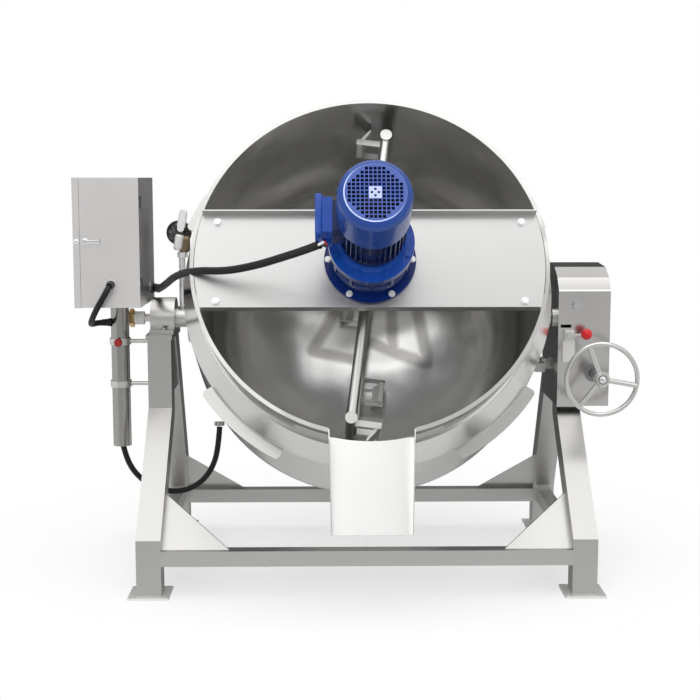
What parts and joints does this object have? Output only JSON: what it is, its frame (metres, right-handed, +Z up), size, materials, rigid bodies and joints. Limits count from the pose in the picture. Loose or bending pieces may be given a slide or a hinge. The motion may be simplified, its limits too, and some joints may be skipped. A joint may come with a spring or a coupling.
{
  "type": "steam jacketed kettle",
  "caption": "Steam-jacketed tilting cooking kettle on an A-frame stand, with geared motor, scraper agitator, pouring spout, handwheel worm tilt and side control box.",
  "frame": {"origin": "on the floor, at the centre of the four anchor holes in the foot plates", "axes": "+Z up; -Y towards the operator and the pouring spout; +X towards the handwheel, along the tilt axis"},
  "size_m": [1.867, 1.5287, 1.5871],
  "materials": {
    "black_rubber": "matte",
    "blue_paint": "gloss enamel",
    "brass": "machined",
    "bronze": "machined",
    "cast_steel": "machined",
    "gauge_black": "satin",
    "mineral_wool": "matte",
    "mixed_electrics": "satin",
    "polished": "satin polished",
    "scraper_plastic": "matte",
    "stainless": "brushed",
    "zinc": "zinc plated"
  },
  "bodies": {
    "frame": {"front_legs": "stainless", "rear_legs": "stainless", "cross_beams": "stainless", "side_beams": "stainless", "corner_gussets": "stainless", "foot_plates": "stainless", "head_plates": "stainless", "bearing_housings": "stainless", "bearing_bushes": "bronze", "frame_bolts": "zinc", "gear_cover": "stainless", "worm_bearings": "cast_steel", "lock_block": "stainless", "control_box": "stainless", "control_gear": "mixed_electrics", "cable_tube": "stainless", "tube_clamps": "stainless", "rotary_joint": "brass", "steam_collar": "stainless", "steam_riser": "polished", "safety_valve": "polished", "pressure_gauge": "gauge_black", "motor_cable": "black_rubber", "box_cable": "black_rubber", "probe_cable": "black_rubber"},
    "kettle": {"inner_pot": "stainless", "steam_jacket": "stainless", "insulation": "mineral_wool", "outer_cladding": "stainless", "shoulder_ring": "polished", "arc_guards": "stainless", "pouring_spout": "stainless", "left_trunnion": "stainless", "right_trunnion": "stainless", "casing_fittings": "stainless", "bridge_plate": "stainless", "bridge_supports": "stainless", "bridge_bolts": "zinc", "reducer_base": "blue_paint", "reducer_case": "blue_paint", "motor_body": "blue_paint", "terminal_box": "blue_paint", "fan_cover": "blue_paint", "worm_wheel": "bronze"},
    "agitator": {"agitator_frame": "stainless", "agitator_shaft": "stainless"},
    "motor_rotor": {"motor_rotor": "cast_steel"},
    "handwheel": {"handwheel": "polished", "worm_shaft": "cast_steel"},
    "lock_lever": {"lock_lever": "zinc"},
    "box_door": {"box_door": "stainless"},
    "door_latch": {"door_latch": "stainless"},
    "valve_lever": {"valve_lever": "polished"},
    "gauge_needle": {"gauge_needle": "mixed_electrics"},
    "scraper_1": {"scraper_1": "scraper_plastic"},
    "scraper_2": {"scraper_2": "scraper_plastic"},
    "scraper_3": {"scraper_3": "scraper_plastic"},
    "scraper_4": {"scraper_4": "scraper_plastic"},
    "scraper_5": {"scraper_5": "scraper_plastic"},
    "scraper_6": {"scraper_6": "scraper_plastic"}
  },
  "joints": [
    {"name": "kettle_tilt", "type": "hinge", "parent": "frame", "child": "kettle", "pos_m": [0, 0.036, 0.851], "axis": [1, 0, 0], "range_deg": [-65, 10], "deforming": ["motor_cable", "probe_cable"]},
    {"name": "agitator_turn", "type": "hinge", "parent": "kettle", "child": "agitator", "pos_m": [0.007, -0.35371, 1.03273], "axis": [0, -0.9063, 0.4226], "continuous": true},
    {"name": "rotor_spin", "type": "hinge", "parent": "kettle", "child": "motor_rotor", "pos_m": [0.007, -0.77968, 1.23136], "axis": [0, -0.9063, 0.4226], "continuous": true},
    {"name": "handwheel_turn", "type": "hinge", "parent": "frame", "child": "handwheel", "pos_m": [0.778, -0.275, 0.677], "axis": [0, -1, 0], "range_deg": [-3120, 480]},
    {"name": "lock_swing", "type": "hinge", "parent": "frame", "child": "lock_lever", "pos_m": [0.691, -0.15, 0.807], "axis": [0, -1, 0], "range_deg": [0, 60]},
    {"name": "door_swing", "type": "hinge", "parent": "frame", "child": "box_door", "pos_m": [-0.742, -0.196, 1.1225], "axis": [0, 0, 1], "range_deg": [0, 110], "deforming": ["box_cable"]},
    {"name": "latch_turn", "type": "hinge", "parent": "box_door", "child": "door_latch", "pos_m": [-0.924, -0.2, 1.128], "axis": [0, 1, 0], "range_deg": [0, 90]},
    {"name": "valve_lift", "type": "hinge", "parent": "frame", "child": "valve_lever", "pos_m": [-0.6318, 0.01, 1.16284], "axis": [0, 1, 0], "range_deg": [0, 30], "stiffness_Nm_per_rad": 0.4, "springref_deg": -11.46},
    {"name": "needle_sweep", "type": "hinge", "parent": "frame", "child": "gauge_needle", "pos_m": [-0.646, 0.084, 1.146], "axis": [0, 1, 0], "range_deg": [0, 270]},
    {"name": "scraper_1_swing", "type": "hinge", "parent": "agitator", "child": "scraper_1", "pos_m": [-0.01593, -0.05654, 1.4334], "axis": [0.0013, 0.9107, -0.4131], "range_deg": [-2, 18]},
    {"name": "scraper_2_swing", "type": "hinge", "parent": "agitator", "child": "scraper_2", "pos_m": [-0.0257, 0.41104, 1.12998], "axis": [-0.0734, 0.4894, -0.869], "range_deg": [-2, 18]},
    {"name": "scraper_3_swing", "type": "hinge", "parent": "agitator", "child": "scraper_3", "pos_m": [-0.05628, 0.44976, 0.84483], "axis": [-0.1197, -0.1326, -0.9839], "range_deg": [-2, 18]},
    {"name": "scraper_4_swing", "type": "hinge", "parent": "agitator", "child": "scraper_4", "pos_m": [0.02993, -0.46963, 0.54753], "axis": [-0.0013, 0.9018, -0.4321], "range_deg": [-2, 18]},
    {"name": "scraper_5_swing", "type": "hinge", "parent": "agitator", "child": "scraper_5", "pos_m": [0.0397, 0.06336, 0.38438], "axis": [0.0734, 0.9802, 0.1837], "range_deg": [-2, 18]},
    {"name": "scraper_6_swing", "type": "hinge", "parent": "agitator", "child": "scraper_6", "pos_m": [0.07028, 0.30669, 0.53801], "axis": [0.1197, 0.6685, 0.734], "range_deg": [-2, 18]}
  ],
  "couplings": [
    {"joint": "handwheel_turn", "follows": "kettle_tilt", "ratio": 48},
    {"joint": "rotor_spin", "follows": "agitator_turn", "ratio": -35}
  ]
}
